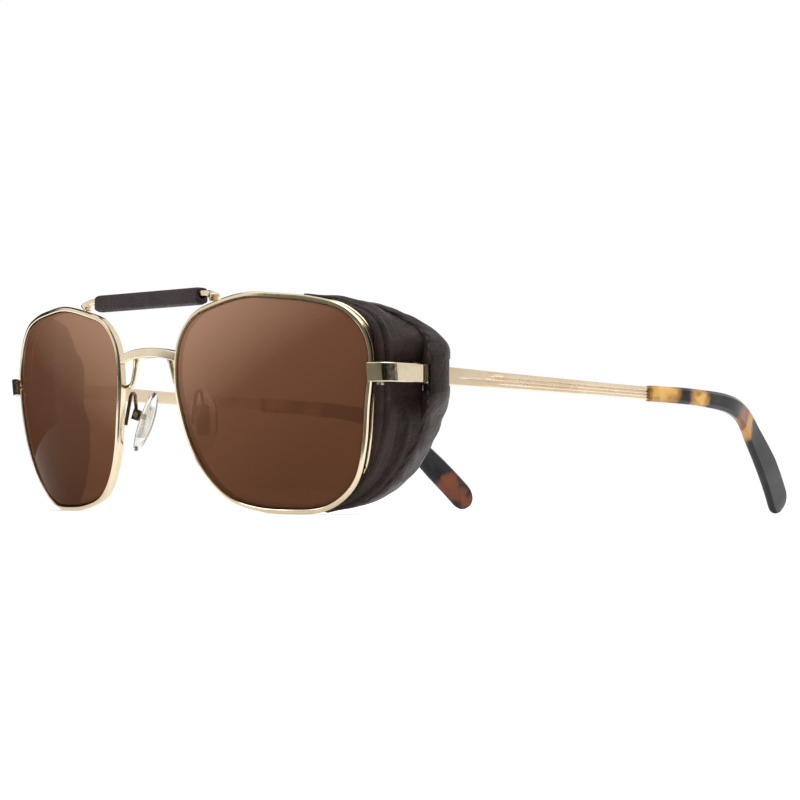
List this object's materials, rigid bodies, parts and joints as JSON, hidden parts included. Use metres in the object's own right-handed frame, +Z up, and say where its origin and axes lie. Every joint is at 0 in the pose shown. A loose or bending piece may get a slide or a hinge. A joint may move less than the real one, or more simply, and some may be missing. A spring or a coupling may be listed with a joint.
{
  "type": "glacier glasses",
  "caption": "Metal sunglasses with curved tinted lenses, a leather-wrapped brow bar, leather side shields, nose pads and folding temples with long bent tips.",
  "frame": {"origin": "on the standing surface, under the middle of the bounding box", "axes": "+Z up, +X towards the wearer's left, temples run back along +Y"},
  "size_m": [0.1408, 0.1648, 0.0502],
  "materials": {
    "gold": "polished champagne-gold plating",
    "steel": "small polished screws and pad inserts",
    "brown_lens": "polished brown tint",
    "shield_leather": "semi-gloss dark brown leather, rolled and stitched",
    "brow_leather": "semi-gloss dark brown leather, stitched below",
    "tortoise": "polished dark tortoise acetate with amber patches",
    "clear_pad": "clear soft plastic"
  },
  "bodies": {
    "front": {"bridge": "gold", "brow_bar": "gold", "brow_sleeve": "brow_leather", "left_rim": "gold", "left_lens": "brown_lens", "left_rim_lock_upper": "gold", "left_rim_lock_lower": "gold", "left_rim_lock_screw": "steel", "left_shield_rail": "gold", "left_end_piece": "gold", "left_bridge_strut": "gold", "left_pad_arm": "gold", "left_pad_screw": "steel", "left_hinge_front": "gold", "left_hinge_screw": "steel", "left_shield_panel": "shield_leather", "right_rim": "gold", "right_lens": "brown_lens", "right_rim_lock_upper": "gold", "right_rim_lock_lower": "gold", "right_rim_lock_screw": "steel", "right_shield_rail": "gold", "right_end_piece": "gold", "right_bridge_strut": "gold", "right_pad_arm": "gold", "right_pad_screw": "steel", "right_hinge_front": "gold", "right_hinge_screw": "steel", "right_shield_panel": "shield_leather"},
    "left_temple": {"left_hinge_rear": "gold", "left_temple": "gold", "left_temple_tip": "tortoise", "left_shield_loop": "shield_leather"},
    "right_temple": {"right_hinge_rear": "gold", "right_temple": "gold", "right_temple_tip": "tortoise", "right_shield_loop": "shield_leather"},
    "left_pad": {"left_pad_insert": "steel", "left_nose_pad": "clear_pad"},
    "right_pad": {"right_pad_insert": "steel", "right_nose_pad": "clear_pad"}
  },
  "joints": [
    {"name": "left_temple_fold", "type": "hinge", "parent": "front", "child": "left_temple", "pos_m": [0.06555, -0.06029, 0.03033], "axis": [0, 0.0663, 0.9978], "range_deg": [0, 80]},
    {"name": "right_temple_fold", "type": "hinge", "parent": "front", "child": "right_temple", "pos_m": [-0.06555, -0.06029, 0.03033], "axis": [0, 0, -1], "range_deg": [0, 80]},
    {"name": "left_pad_rock", "type": "hinge", "parent": "front", "child": "left_pad", "pos_m": [0.01233, -0.07444, 0.02249], "axis": [0.5, 0.866, 0], "range_deg": [-8, 8]},
    {"name": "right_pad_rock", "type": "hinge", "parent": "front", "child": "right_pad", "pos_m": [-0.01233, -0.07444, 0.02249], "axis": [0.5, -0.866, 0], "range_deg": [-8, 8]}
  ]
}
